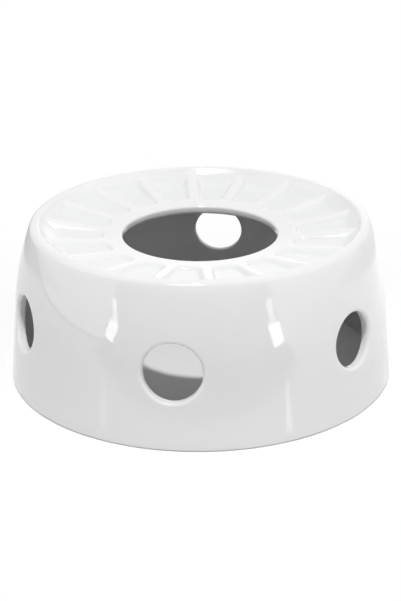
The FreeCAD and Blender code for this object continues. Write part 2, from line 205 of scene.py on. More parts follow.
@dataclass(frozen=True)
class Wall:
    """The skirt wall: straight below, curving in above to the shoulder."""

    foot_radius: float = 75.5
    skirt_lean: float = 2.7
    skirt_height: float = 32.0
    shoulder_lean: float = 7.2
    height: float = 62.2
    thickness: float = 3.6

    def bow(self) -> tuple[float, float, float]:
        """Find the arc that carries the skirt on to the shoulder.

        Returns:
            The arc's centre as radius and height, and its own radius.
        """
        length = math.hypot(self.skirt_lean, self.skirt_height)
        side = (-self.skirt_height / length, -self.skirt_lean / length)
        rise = self.height - self.skirt_height
        chord = math.hypot(self.shoulder_lean, rise)
        curve = chord ** 2 / (2 * (-self.shoulder_lean * side[0] + rise * side[1]))
        skirt_radius = self.foot_radius - self.skirt_lean
        return skirt_radius + side[0] * curve, self.skirt_height + side[1] * curve, curve

    def radius(self, height: np.ndarray | float, depth: float = 0.0) -> np.ndarray:
        """Give the wall's radius.

        Args:
            height: height above the table.
            depth: how far below the outer surface.

        Returns:
            The radius of that layer of the wall at that height.
        """
        middle, level, curve = self.bow()
        share = (curve - depth) / curve
        joint_height = level + (self.skirt_height - level) * share
        joint_radius = middle + (self.foot_radius - self.skirt_lean - middle) * share
        arc = middle + np.sqrt(np.maximum((curve - depth) ** 2 - (height - level) ** 2, 0))
        line = joint_radius + (joint_height - height) * self.skirt_lean / self.skirt_height
        return np.where(height > joint_height, arc, line)


@dataclass(frozen=True)
class Dish:
    """The dished top: collar, ribs, flat-floored flutes and the slope to the rim."""

    rim_radius: float = 62.4
    rim_height: float = 62.2
    core_radius: float = 64.0
    core_height: float = 60.7
    sag: float = 0.6
    mouth_radius: float = 30.1
    lip_height: float = 56.5
    flute_count: int = 18
    flute_start: float = 38.0
    flute_end: float = 60.8
    flute_depth: float = 1.15
    flute_tilt: float = 3.5
    flute_draft: float = 40.0
    flute_corner: float = 2.2
    flute_aside: float = 1.6
    flute_turn: float = 55.2
    floor_round: float = 1.2
    rib_start_width: float = 5.3
    rib_end_width: float = 7.6
    slope_curve: float = 13.0
    slope_sink: float = 0.3
    rib_softness: float = 0.7
    turn_softness: float = 0.3

    def deck(self, radius: np.ndarray | float) -> np.ndarray:
        """Give the height of the dish with no flutes in it.

        Args:
            radius: distance from the body's axis.

        Returns:
            The height above the table.
        """
        share = (radius - self.mouth_radius) / (self.core_radius - self.mouth_radius)
        rise = (self.core_height - self.lip_height) * share
        return self.lip_height + rise - 4 * self.sag * share * (1 - share)

    def floor(self, along: np.ndarray | float) -> np.ndarray:
        """Give the height of a flute's floor, which rises outwards."""
        start = float(self.deck(self.flute_start)) - self.flute_depth
        return start + (along - self.flute_start) * math.tan(math.radians(self.flute_tilt))

    def beyond(self, along: np.ndarray, aside: np.ndarray) -> np.ndarray:
        """Measure how far places lie outside the outline of a flute's floor.

        Args:
            along: distance from the body's axis along the flute.
            aside: distance from the flute's middle.

        Returns:
            The distances, below zero for places on the floor.
        """
        slant = math.cos(math.radians(self.flute_tilt))
        half_pitch = math.tan(math.pi / self.flute_count)
        start = self.flute_start * half_pitch - self.rib_start_width / 2
        end = self.flute_end * half_pitch - self.rib_end_width / 2
        spread = (end - start) / (self.flute_end - self.flute_start) * slant
        run = (along - self.flute_start) / slant
        past_side = (np.abs(aside) - start - run * spread) / math.hypot(1, spread)
        by_side = past_side + self.flute_corner
        by_end = self.flute_corner - run
        outside = np.hypot(np.maximum(by_side, 0), np.maximum(by_end, 0))
        return outside + np.minimum(np.maximum(by_side, by_end), 0) - self.flute_corner

    def scoop(self, along: np.ndarray, aside: np.ndarray) -> np.ndarray:
        """Give the height of the flutes' own surface: floor, bend and side.

        Args:
            along: distance from the body's axis along the flute.
            aside: distance from the flute's middle.

        Returns:
            The heights, above the dish where the flute has ended.
        """
        beyond = self.beyond(along, aside)
        lean = math.radians(90 - self.flute_draft)
        tangent = self.floor_round * math.tan(lean / 2)
        run = np.clip(beyond + tangent, 0, self.floor_round * math.sin(lean))
        bend = self.floor_round - np.sqrt(self.floor_round ** 2 - run ** 2)
        side = np.maximum(beyond - tangent * math.cos(lean), 0) * math.tan(lean)
        return self.floor(along) + bend + side

    def slope_centre(self) -> Place:
        """Find the centre of the hollow slope's arc, above it.

        Returns:
            The centre's radius and height.
        """
        root = np.array((self.flute_turn, self.slope_root()))
        rim = np.array((self.rim_radius, self.rim_height))
        chord = rim - root
        length = np.linalg.norm(chord)
        away = np.array((-chord[1], chord[0])) / length
        centre = (root + rim) / 2 + away * math.sqrt(self.slope_curve ** 2 - length ** 2 / 4)
        return float(centre[0]), float(centre[1])

    def slope_root(self) -> float:
        """Give the height where the slope starts, just under the flutes."""
        return float(self.floor(self.flute_turn)) - self.slope_sink

    def slope(self, radius: np.ndarray) -> np.ndarray:
        """Give the height of the slope, running on straight inside its root.

        Args:
            radius: distances from the body's axis.

        Returns:
            The heights above the table.
        """
        middle, level = self.slope_centre()
        inside = np.minimum(radius - self.flute_turn, 0)
        reach = np.maximum(radius, self.flute_turn) - middle
        arc = level - np.sqrt(self.slope_curve ** 2 - reach ** 2)
        run = self.flute_turn - middle
        steepness = run / math.sqrt(self.slope_curve ** 2 - run ** 2)
        return arc + inside * steepness

    def height(self, radius: float, azimuths: np.ndarray) -> np.ndarray:
        """Give the top's height round one ring.

        Args:
            radius: the ring's radius.
            azimuths: the ring's columns, in radians.

        Returns:
            One height for each column.
        """
        pitch = 2 * math.pi / self.flute_count
        turn = azimuths - math.radians(self.flute_aside)
        turn = turn - pitch * np.round(turn / pitch)
        flute = self.scoop(radius * np.cos(turn), radius * np.sin(turn))
        ribbed = soft_least(self.deck(radius), flute, self.rib_softness)
        slope = self.slope(np.full_like(azimuths, radius))
        return -soft_least(-ribbed, -slope, self.turn_softness)


@dataclass(frozen=True)
class Vent:
    """One round air vent, where a hand punched it through the damp wall."""

    azimuth: float
    height: float = 30.0
    radius: float = 10.5
    outer_round: float = 1.3
    inner_round: float = 0.8
    round_steps: int = 6

    def outward(
        self, wall: Wall, depth: float, across: np.ndarray, high: np.ndarray
    ) -> np.ndarray:
        """Give how far out the wall is.

        Args:
            wall: the wall that the vent goes through.
            depth: depth of the wall's surface that is meant.
            across: distances aside from the vent's middle.
            high: heights above the table.

        Returns:
            Distances from the body's axis along the vent's own direction.
        """
        return np.sqrt(wall.radius(high, depth) ** 2 - across ** 2)

    def edge(
        self, wall: Wall, depth: float, inside: bool, turns: np.ndarray
    ) -> list[np.ndarray]:
        """Round one edge of the vent.

        Args:
            wall: the wall that the vent goes through.
            depth: depth of the wall's surface that the vent opens in.
            inside: whether that surface is the wall's inner one.
            turns: directions round the vent, in radians.

        Returns:
            Loops of (outward, aside, height), from the wall to the bore.
        """
        sign = -1 if inside else 1
        size = self.inner_round if inside else self.outer_round
        reach = self.radius + size
        nudge = size / 10
        near, at, far = (
            self.outward(wall, depth, r * np.cos(turns), self.height + r * np.sin(turns))
            for r in (reach - nudge, reach, reach + nudge)
        )
        lean = (far - near) / (2 * nudge)
        level = at - sign * size * np.sqrt(1 + lean ** 2)
        start = np.arctan2(np.full_like(lean, sign), -sign * lean)
        sweep = sign * math.pi - start
        loops = []
        for share in np.linspace(0, 1, self.round_steps + 1):
            angle = start + sweep * share
            ring = reach + size * np.cos(angle)
            outward = level + size * np.sin(angle)
            across = ring * np.cos(turns)
            high = self.height + ring * np.sin(turns)
            loops.append(np.column_stack((outward, across, high)))
        return loops

    def placed(self, places: np.ndarray) -> np.ndarray:
        """Turn places to the vent's own azimuth.

        Args:
            places: places as (outward, aside, height).

        Returns:
            The same places in the body's own frame.
        """
        turn = math.radians(self.azimuth)
        outward, aside, height = places.T
        across = outward * math.sin(turn) + aside * math.cos(turn)
        along = -outward * math.cos(turn) + aside * math.sin(turn)
        return np.column_stack((across, along, height))

    def aside(self, points: np.ndarray) -> np.ndarray:
        """Give how far aside from the vent's middle points are."""
        turn = math.radians(self.azimuth)
        return points[:, 0] * math.cos(turn) + points[:, 1] * math.sin(turn)


@dataclass(frozen=True)
class Vents:
    """The six vents, and the panel of wall that each one sits in."""

    each: tuple[Vent, ...] = (
        Vent(0.0, 29.5, 11.1),
        Vent(60.0),
        Vent(120.0),
        Vent(181.6, 32.0, 9.9),
        Vent(240.0),
        Vent(300.0),
    )
    panel_low: float = 12.0
    panel_high: float = 48.0
    panel_rows: int = 20
    outer_loops: int = 9
    inner_loops: int = 5
    bore_steps: int = 3
    crowding: float = 1.5

    @property
    def count(self) -> int:
        """How many vents there are."""
        return len(self.each)


@dataclass
class Skin:
    """Points and faces gathered into one closed mesh."""

    points: list[np.ndarray] = field(default_factory=list)
    faces: list[tuple[int, ...]] = field(default_factory=list)
    finishes: list[int] = field(default_factory=list)
    total: int = 0

    def add(self, points: np.ndarray) -> np.ndarray:
        """Add points.

        Args:
            points: the points, in millimetres.

        Returns:
            Their numbers.
        """
        self.points.append(points)
        self.total += len(points)
        return np.arange(self.total - len(points), self.total)

    def bridge(
        self, first: np.ndarray, second: np.ndarray, finish: Finish = Finish.GLAZE
    ) -> None:
        """Fill the band between two closed loops of points.

        Args:
            first: the numbers of one loop's points.
            second: the numbers of the other's, in step with the first.
            finish: the band's surface.
        """
        pairs = zip(first, np.roll(first, -1), np.roll(second, -1), second)
        self.faces.extend(tuple(int(i) for i in pair) for pair in pairs)
        self.finishes.extend([finish.value] * len(first))

    def mesh(self, name: str) -> bpy.types.Mesh:
        """Make the mesh, in metres, with its faces turned outwards.

        Args:
            name: the mesh's name.

        Returns:
            The smooth-shaded mesh.
        """
        made = bpy.data.meshes.new(name)
        made.from_pydata((np.vstack(self.points) * MM).tolist(), [], self.faces)
        made.polygons.foreach_set("material_index", self.finishes)
        shape = bmesh.new()
        shape.from_mesh(made)
        bmesh.ops.recalc_face_normals(shape, faces=shape.faces)
        shape.to_mesh(made)
        shape.free()
        made.shade_smooth()
        return made


@dataclass(frozen=True)
class Rows:
    """How many rows of faces each face and rounding of the body has."""

    foot: int = 6
    skirt: int = 4
    over_vents: int = 7
    shoulder: int = 9
    rim: int = 6
    slope: int = 17
    flute: int = 11
    flute_start: int = 16
    collar: int = 4
    lip: int = 7
    lip_under: int = 6
    ceiling: int = 7
    ceiling_bend: int = 8
    inner_over_vents: int = 2
    inner_skirt: int = 3
    heel: int = 5


@dataclass(frozen=True)
class WarmerBody:
    """The whole cast body, meshed ring by ring from the foot to the foot."""

    wall: Wall = Wall()
    dish: Dish = Dish()
    vents: Vents = Vents()
    rows: Rows = Rows()
    lip: float = 3.6
    ceiling_rise: float = 1.2
    shoulder_round: float = 2.6
    rim_round: float = 0.9
    lip_round: float = 1.1
    lip_under_round: float = 1.5
    ceiling_round: float = 5.0
    foot_round: float = 0.9
    rib_top: float = 0.11
    rib_foot: float = 0.47
    side_columns: int = 10
    floor_columns: int = 3
    turn_band: float = 1.0
    start_band: float = 1.6

    @property
    def flute_columns(self) -> int:
        """How many columns of faces each flute and rib has."""
        return 2 * (1 + self.side_columns + self.floor_columns)

    def azimuths(self) -> np.ndarray:
        """Give the columns' azimuths, crowded at the ribs' sides.

        Returns:
            The azimuths in radians, rising.
        """
        half = math.pi / self.dish.flute_count
        from_rib = half * np.concatenate((
            (0.0,),
            np.linspace(self.rib_top, self.rib_foot, self.side_columns + 1),
            np.linspace(self.rib_foot, 1, self.floor_columns + 1)[1:],
        ))
        rising = half - from_rib[::-1]
        falling = half + from_rib[1:-1]
        flute = np.concatenate((rising, falling))
        starts = 2 * half * np.arange(self.dish.flute_count)
        turns = starts[:, None] + flute[None, :]
        return turns.ravel() + math.radians(self.dish.flute_aside)

    def ring(
        self, skin: Skin, radius: np.ndarray | float, height: np.ndarray | float
    ) -> np.ndarray:
        """Add one ring of points round the body.

        Args:
            skin: the mesh in the making.
            radius: the ring's radius.
            height: its height, or one height for each column.

        Returns:
            The numbers of the ring's points.
        """
        turns = self.azimuths()
        across = radius * np.sin(turns)
        along = -radius * np.cos(turns)
        return skin.add(np.column_stack((across, along, np.broadcast_to(height, turns.shape))))

    def rings(
        self, skin: Skin, start: np.ndarray | None, places: Sequence[Place],
        finish: Finish = Finish.GLAZE,
    ) -> np.ndarray:
        """Add rings one after another and fill the bands between them.

        Args:
            skin: the mesh in the making.
            start: the ring that they carry on from, if there is one.
            places: the new rings as (radius, height).
            finish: the bands' surface.

        Returns:
            The last ring.
        """
        for radius, height in places:
            ring = self.ring(skin, radius, height)
            if start is not None:
                skin.bridge(start, ring, finish)
            start = ring
        return start

    def layer(self, heights: np.ndarray, depth: float = 0.0) -> list[Place]:
        """Give places on one surface of the wall at the given heights."""
        return list(zip(self.wall.radius(heights, depth).tolist(), heights.tolist()))

    def panel_frames(
        self, skin: Skin, low: np.ndarray, high: np.ndarray, depth: float
    ) -> list[np.ndarray]:
        """Gather the frame of each vent's panel of wall.

        Args:
            skin: the mesh in the making.
            low: the ring of points under the panels.
            high: the ring of points over them.
            depth: the depth of the wall's surface that they are on.

        Returns:
            One closed loop of points for each panel.
        """
        turns = self.azimuths()
        count = len(turns)
        span = count // self.vents.count
        rows = self.vents.panel_rows
        levels = np.linspace(self.vents.panel_low, self.vents.panel_high, rows + 1)[1:-1]
        radii = self.wall.radius(levels, depth)
        sides = []
        for panel in range(self.vents.count):
            turn = turns[(panel * span - span // 2) % count]
            places = (radii * math.sin(turn), -radii * math.cos(turn), levels)
            sides.append(skin.add(np.column_stack(places)))
        loops = []
        for panel in range(self.vents.count):
            columns = (np.arange(-(span // 2), span // 2 + 1) + panel * span) % count
            right = sides[(panel + 1) % self.vents.count]
            below = low[columns]
            above = high[columns][::-1]
            loops.append(np.concatenate((below, right, above, sides[panel][::-1])))
        return loops

    def directions(self) -> np.ndarray:
        """Give the directions round a vent, in step with its panel's frame.

        Returns:
            The directions in radians, from straight down.
        """
        span = self.flute_columns * self.dish.flute_count // self.vents.count
        count = 2 * (span + self.vents.panel_rows)
        return (np.arange(count) - span // 2) * 2 * math.pi / count - math.pi / 2

    def panel(
        self, skin: Skin, start: np.ndarray, vent: Vent, edge: np.ndarray, depth: float, loops: int
    ) -> np.ndarray:
        """Fill a panel of wall from its frame to the vent's rounded edge.

        Args:
            skin: the mesh in the making.
            start: the frame's points.
            vent: the panel's vent.
            edge: the edge's places as (outward, aside, height).
            depth: the depth of the wall's surface that it is on.
            loops: how many bands it has.

        Returns:
            The loop of points at the vent's edge.
        """
        points = np.vstack(skin.points)[start]
        aside = vent.aside(points)
        shares = 1 - (1 - np.arange(1, loops + 1) / loops) ** self.vents.crowding
        for share in shares:
            across = aside + (edge[:, 1] - aside) * share
            height = points[:, 2] + (edge[:, 2] - points[:, 2]) * share
            outward = vent.outward(self.wall, depth, across, height)
            ring = skin.add(vent.placed(np.column_stack((outward, across, height))))
            skin.bridge(start, ring)
            start = ring
        return start

    def cut_vents(self, skin: Skin, outer: list[np.ndarray], inner: list[np.ndarray]) -> None:
        """Mesh every vent, from the wall's outer face to its inner one.

        Args:
            skin: the mesh in the making.
            outer: the panels' frames on the outer face.
            inner: the panels' frames on the inner face.
        """
        turns = self.directions()
        deep = self.wall.thickness
        shares = np.linspace(0, 1, self.vents.bore_steps + 1)[1:-1]
        for vent, frame_out, frame_in in zip(self.vents.each, outer, inner):
            mouth = vent.edge(self.wall, 0.0, False, turns)
            throat = vent.edge(self.wall, deep, True, turns)
            loop = self.panel(skin, frame_out, vent, mouth[0], 0.0, self.vents.outer_loops)
            back = self.panel(skin, frame_in, vent, throat[0], deep, self.vents.inner_loops)
            bore = [mouth[-1] + (throat[-1] - mouth[-1]) * share for share in shares]
            for places in mouth[1:] + bore + throat[:0:-1]:
                ring = skin.add(vent.placed(places))
                skin.bridge(loop, ring)
                loop = ring
            skin.bridge(loop, back)

    def top_radii(self, first: float, last: float) -> np.ndarray:
        """Give the rings' radii across the dish, close where it turns.

        Args:
            first: the radius of the last ring on the rim.
            last: the radius of the first ring on the lip.

        Returns:
            The radii between them, falling.
        """
        rows = self.rows
        turn = self.dish.flute_turn - self.turn_band
        outer = self.dish.flute_start + self.start_band
        inner = self.dish.flute_start - self.start_band
        return np.concatenate((
            np.linspace(first, turn, rows.slope + 1)[1:],
            np.linspace(turn, outer, rows.flute + 1)[1:],
            np.linspace(outer, inner, rows.flute_start + 1)[1:],
            np.linspace(inner, last, rows.collar + 1)[1:-1],
        ))

    def mark_hollows(self, mesh: bpy.types.Mesh) -> None:
        """Note on the mesh how deep each place lies below the tops of the ribs.

        Args:
            mesh: the body's mesh, which gets the attribute "hollow".
        """
        places = np.empty(3 * len(mesh.vertices))
        mesh.vertices.foreach_get("co", places)
        across, along, height = places.reshape(-1, 3).T / MM
        radius = np.hypot(across, along)
        below = self.dish.deck(radius) - height
        inner_end = self.dish.flute_start - self.dish.flute_depth
        near_underside = 0.8 * self.lip
        on_top = (radius < self.dish.rim_radius) & (radius > inner_end)
        on_top &= below < near_underside
        # This depth drives the glaze's pooled tint and painted shade in the hollows
        depth = np.clip(below / self.dish.flute_depth, 0, 1) * on_top
        mesh.attributes.new("hollow", "FLOAT", "POINT").data.foreach_set("value", depth)

    def build(self) -> bpy.types.Object:
        """Mesh the body.

        Returns:
            The body's object, with no finish yet.
        """
        skin = Skin()
        wall, dish, vents, rows = self.wall, self.dish, self.vents, self.rows
        deep = wall.thickness
        inner_foot = float(wall.radius(0.0, deep))
        foot_out = (wall.foot_radius, 0.0)
        foot_in = (inner_foot, 0.0)
        near = self.layer(np.array([vents.panel_low]))[0]
        near_in = self.layer(np.array([vents.panel_low]), deep)[0]
        crest = wall.height
        shoulder_radius = float(wall.radius(crest))
        rim = (dish.rim_radius, crest)
        shoulder = (shoulder_radius, crest)
        under_height = dish.lip_height - self.lip
        lip = (dish.mouth_radius, dish.lip_height)
        under = (dish.mouth_radius, under_height)
        ceiling_height = under_height + self.ceiling_rise
        ceiling = (float(wall.radius(ceiling_height, deep)), ceiling_height)

        # Outer face: foot ring, skirt below the vents, then above them
        foot = rounded(foot_in, foot_out, near, self.foot_round, rows.foot)
        first = self.rings(skin, None, foot[:1])
        ring = self.rings(skin, first, foot[1:])
        rising = np.linspace(foot[-1][1], vents.panel_low, rows.skirt + 1)[1:]
        low = self.rings(skin, ring, self.layer(rising))
        below = self.layer(np.array([crest - self.shoulder_round]))[0]
        turn = rounded(below, shoulder, rim, self.shoulder_round, rows.shoulder)
        high = self.rings(skin, None, self.layer(np.array([vents.panel_high])))
        rising = np.linspace(vents.panel_high, turn[0][1], rows.over_vents + 1)[1:-1]
        ring = self.rings(skin, high, self.layer(rising))
        ring = self.rings(skin, ring, turn)
        outer = self.panel_frames(skin, low, high, 0.0)

        # Top: crest of the rim, slope, flutes and ribs, collar, lip
        inward = dish.rim_radius - self.rim_round
        fall = (inward, float(dish.slope(np.array([inward]))[0]))
        edge = rounded(shoulder, rim, fall, self.rim_round, rows.rim)
        ring = self.rings(skin, ring, edge)
        outside = dish.mouth_radius + 2 * self.lip_round
        collar = (outside, float(dish.deck(outside)))
        mouth = rounded(collar, lip, under, self.lip_round, rows.lip)
        radii = self.top_radii(edge[-1][0], mouth[0][0])
        ring = self.rings(skin, ring, [(r, dish.height(r, self.azimuths())) for r in radii])
        ring = self.rings(skin, ring, mouth)

        # Under the top: lip from below, ceiling, then down the inner wall
        lower = rounded(lip, under, ceiling, self.lip_under_round, rows.lip_under)
        ring = self.rings(skin, ring, lower)
        down = self.layer(np.array([ceiling_height - self.ceiling_round]), deep)[0]
        bend = rounded(under, ceiling, down, self.ceiling_round, rows.ceiling_bend)
        ring = self.rings(skin, ring, np.linspace(lower[-1], bend[0], rows.ceiling + 1)[1:-1])
        ring = self.rings(skin, ring, bend)
        falling = np.linspace(bend[-1][1], vents.panel_high, rows.inner_over_vents + 1)[1:]
        high = self.rings(skin, ring, self.layer(falling, deep))
        heel = rounded(near_in, foot_in, foot_out, self.foot_round, rows.heel)
        low = self.rings(skin, None, self.layer(np.array([vents.panel_low]), deep))
        inner = self.panel_frames(skin, low, high, deep)
        falling = np.linspace(vents.panel_low, heel[0][1], rows.inner_skirt + 1)[1:-1]
        ring = self.rings(skin, low, self.layer(falling, deep))
        ring = self.rings(skin, ring, heel)
        skin.bridge(ring, first, Finish.BISCUIT)
        self.cut_vents(skin, outer, inner)

        body = bpy.data.objects.new("porcelain_body", skin.mesh("porcelain_body"))
        self.mark_hollows(body.data)
        bpy.context.scene.collection.objects.link(body)
        return body

    def dress(self, body: bpy.types.Object) -> None:
        """Give the body its glaze and its bare foot."""
        body.data.materials.append(GlazedPorcelain().material())
        body.data.materials.append(BiscuitPorcelain().material())


@dataclass(frozen=True)
class GlazedPorcelain:
    """Hard white porcelain under a clear glaze, cast and dip-glazed.

    The eye sees a bright neutral white with a wet, slightly wavy gloss, a
    little cooler and greyer in the hollows: a pooled glaze tint mixed with
    painted shade.
    """

    colour: str = "f0f0f0"
    pooled_and_shaded: str = "eaebeb"
    mottled: str = "ededed"
    glaze_ior: float = 1.5
    roughness: float = 0.04
    rougher: float = 0.07
    mottle_mm: float = 30.0
    wave_mm: float = 14.0
    wave_depth_mm: float = 0.02

    def material(self) -> bpy.types.Material:
        """Make the glaze's material.

        Returns:
            The material.
        """
        made = blank_material("glazed_porcelain")
        tree = made.node_tree
        place = add_node(tree, "ShaderNodeTexCoord").outputs["Object"]
        mottle = add_node(
            tree, "ShaderNodeTexNoise",
            {"Scale": per_metre(self.mottle_mm), "Detail": 3.0, "Roughness": 0.5},
            {"Vector": place},
        )
        body = add_node(
            tree, "ShaderNodeMix",
            {"data_type": "RGBA", 6: linear(self.colour), 7: linear(self.mottled)},
            {0: mottle.outputs["Fac"]},
        )
        # Pooled glaze tint and painted shade: the colour greys the deeper a place lies in the
        # hollows
        hollow = add_node(tree, "ShaderNodeAttribute", {"attribute_name": "hollow"})
        colour = add_node(
            tree, "ShaderNodeMix",
            {"data_type": "RGBA", 7: linear(self.pooled_and_shaded)},
            {0: hollow.outputs["Fac"], 6: body.outputs[2]},
        )
        gloss = add_node(
            tree, "ShaderNodeMapRange",
            {"To Min": self.roughness, "To Max": self.rougher},
            {"Value": mottle.outputs["Fac"]},
        )
        wave = add_node(
            tree, "ShaderNodeTexNoise",
            {"Scale": per_metre(self.wave_mm), "Detail": 1.0, "Roughness": 0.4},
            {"Vector": place},
        )
        bump = add_node(
            tree, "ShaderNodeBump",
            {"Strength": 1.0, "Distance": self.wave_depth_mm * MM},
            {"Height": wave.outputs["Fac"]},
        )
        shader = add_node(
            tree, "ShaderNodeBsdfPrincipled",
            {"IOR": self.glaze_ior, "Metallic": 0.0},
            {
                "Base Color": colour.outputs[2],
                "Roughness": gloss.outputs["Result"],
                "Normal": bump.outputs["Normal"],
            },
        )
        add_node(tree, "ShaderNodeOutputMaterial", None, {"Surface": shader.outputs["BSDF"]})
        return made


@dataclass(frozen=True)
class BiscuitPorcelain:
    """Bare fired porcelain on the foot, wiped clean of glaze and ground flat.

    The eye sees a dull, faintly warm white with a fine grain. The real grain is
    too fine to show, so it is drawn coarser.
    """

    colour: str = "e9e5dd"
    darker: str = "ddd8ce"
    roughness: float = 0.75
    grain_mm: float = 0.6
    grain_depth_mm: float = 0.03

    def material(self) -> bpy.types.Material:
        """Make the bare foot's material.

        Returns:
            The material.
        """
        made = blank_material("biscuit_porcelain")
        tree = made.node_tree
        place = add_node(tree, "ShaderNodeTexCoord").outputs["Object"]
        grain = add_node(
            tree, "ShaderNodeTexNoise",
            {"Scale": per_metre(self.grain_mm), "Detail": 4.0},
            {"Vector": place},
        )
        colour = add_node(
            tree, "ShaderNodeMix",
            {"data_type": "RGBA", 6: linear(self.colour), 7: linear(self.darker)},
            {0: grain.outputs["Fac"]},
        )
        bump = add_node(
            tree, "ShaderNodeBump",
            {"Strength": 0.6, "Distance": self.grain_depth_mm * MM},
            {"Height": grain.outputs["Fac"]},
        )
        shader = add_node(
            tree, "ShaderNodeBsdfPrincipled",
            {"IOR": 1.5, "Roughness": self.roughness},
            {"Base Color": colour.outputs[2], "Normal": bump.outputs["Normal"]},
        )
        add_node(tree, "ShaderNodeOutputMaterial", None, {"Surface": shader.outputs["BSDF"]})
        return made


@dataclass(frozen=True)
class Viewpoint:
    """The camera of the photograph."""

    azimuth: float = 8.3
    elevation: float = 22.94
    distance: float = 653.5
    target_height: float = 27.57
    roll: float = -0.533
    lens: float = 98.75
    nearest_m: float = 0.01
    farthest_m: float = 20.0

    def aim(self) -> None:
        """Make the camera and point it."""
        data = bpy.data.cameras.new("camera")
        data.lens = self.lens
        data.clip_start = self.nearest_m
        data.clip_end = self.farthest_m
        camera = bpy.data.objects.new("camera", data)
        back = towards(self.azimuth, self.elevation)
        place = Vector((0, 0, self.target_height)) + back * self.distance
        set_facing(camera, place, back, self.roll)
        bpy.context.scene.camera = camera


@dataclass(frozen=True)
class Lamp:
    """A soft box that looks at the body."""

    name: str
    azimuth: float
    elevation: float
    distance: float
    width: float
    height: float
    radiance: float
    target_height: float = 30.0
    roll: float = 0.0
    aside: float = 0.0
    seen_only_in_glaze: bool = False

    def light(self) -> None:
        """Hang the lamp."""
        data = bpy.data.lights.new(self.name, "AREA")
        data.shape = "RECTANGLE"
        data.size = self.width * MM
        data.size_y = self.height * MM
        data.energy = self.radiance * math.pi * data.size * data.size_y
        lamp = bpy.data.objects.new(self.name, data)
        back = towards(self.azimuth, self.elevation)
        right = towards(self.azimuth + 90, 0.0)
        place = back * self.distance + right * self.aside
        set_facing(lamp, Vector((0, 0, self.target_height)) + place, back, self.roll)
        lamp.visible_camera = False
        if self.seen_only_in_glaze:
            lamp.visible_diffuse = False


def glint(
    name: str, azimuth: float, distance: float, box: tuple[float, float, float, float],
    radiance: float, roll: float = 0.0,
) -> Lamp:
    """Make a bright pane that shows only as a reflection in the glaze.

    Args:
        name: the pane's name.
        azimuth: the side that it stands on.
        distance: how far it stands from the body's axis.
        box: its middle aside and its height, then its width and its own height.
        radiance: how bright it is.
        roll: how far it leans, in degrees.

    Returns:
        The pane as a lamp.
    """
    aside, level, width, height = box
    return Lamp(name, azimuth, 0.0, distance, width, height, radiance, level, roll, aside, True)


@dataclass(frozen=True)
class Glow:
    """A bright patch of the room that shows only in the glaze."""

    azimuth: float
    elevation: float
    core: float
    edge: float
    radiance: float

    def shine(
        self, tree: bpy.types.NodeTree, way: bpy.types.NodeSocket
    ) -> bpy.types.NodeSocket:
        """Add the patch to the surround.

        Args:
            tree: the surround's node tree.
            way: the direction that is looked in.

        Returns:
            How bright the patch is in that direction.
        """
        middle = towards(self.azimuth, self.elevation)
        near = add_node(
            tree, "ShaderNodeVectorMath", {"operation": "DOT_PRODUCT", 1: middle}, {0: way}
        )
        return add_node(
            tree, "ShaderNodeMapRange",
            {
                "interpolation_type": "SMOOTHSTEP",
                "From Min": math.cos(math.radians(self.edge)),
                "From Max": math.cos(math.radians(self.core)),
                "To Max": self.radiance,
            },
            {"Value": near.outputs["Value"]},
        ).outputs["Result"]


@dataclass(frozen=True)
class Stripe:
    """A straight stripe across the table that shows only in the glaze."""

    side: float
    far: float
    width: float
    change: float
    blur: float = 1.0
    beside: float = 0.0
    start: float = -2000.0


